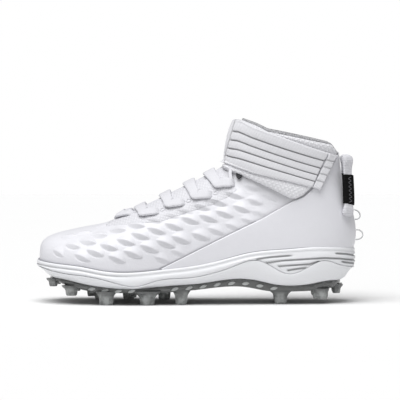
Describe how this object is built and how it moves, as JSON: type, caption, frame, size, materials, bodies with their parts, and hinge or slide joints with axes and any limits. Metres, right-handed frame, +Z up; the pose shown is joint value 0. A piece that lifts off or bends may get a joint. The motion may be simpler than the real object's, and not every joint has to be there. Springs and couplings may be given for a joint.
{
  "type": "american football cleat",
  "caption": "White high-cut left football cleat: hollow quilted upper with padded collar, ribbed ankle strap and flat laces on a white sole with a grey studded plate.",
  "frame": {"origin": "middle of the bounding box in plan, at the floor under the studs", "axes": "+Z up, toe toward -X and heel toward +X, outer (lateral) side toward -Y"},
  "size_m": [0.3074, 0.1048, 0.1715],
  "materials": {
    "upper_white": "white coated textile with raised pods, satin",
    "tongue_textile": "white textile, matte",
    "insole_grey": "grey foam with textile top, matte",
    "midsole_white": "white moulded foam, satin",
    "carrier_white": "white moulded plastic, satin",
    "smoky_tpu": "smoky translucent plastic, glossy",
    "panel_film": "smooth white film, satin",
    "pad_knit": "white dotted knit, matte",
    "eyestay_film": "embossed white film, satin",
    "anchor_web": "white webbing, matte",
    "tab_web": "white webbing, matte",
    "sleeve_black": "black webbing with grey flecks, matte",
    "strap_web": "ribbed off-white strap, matte",
    "lace_web": "white flat braid, matte",
    "clear_tpu": "clear moulded cord, glossy"
  },
  "bodies": {
    "root": {"upper": "upper_white", "tongue": "tongue_textile", "insole": "insole_grey", "midsole": "midsole_white", "sole_carrier": "carrier_white", "outsole": "smoky_tpu", "quarter_panel": "panel_film", "collar_pad_lateral": "pad_knit", "collar_pad_medial": "pad_knit", "eyestay_lateral": "eyestay_film", "eyestay_medial": "eyestay_film", "strap_anchor_lateral": "anchor_web", "strap_anchor_medial": "anchor_web", "pull_tab_lateral": "tab_web", "pull_tab_medial": "tab_web", "pull_sleeve_lateral": "sleeve_black", "pull_sleeve_medial": "sleeve_black", "ankle_strap": "strap_web", "lace_1": "lace_web", "lace_2": "lace_web", "lace_3": "lace_web", "lace_4": "lace_web", "lace_5": "lace_web", "heel_loop_upper": "clear_tpu", "heel_loop_lower": "clear_tpu"}
  },
  "joints": []
}
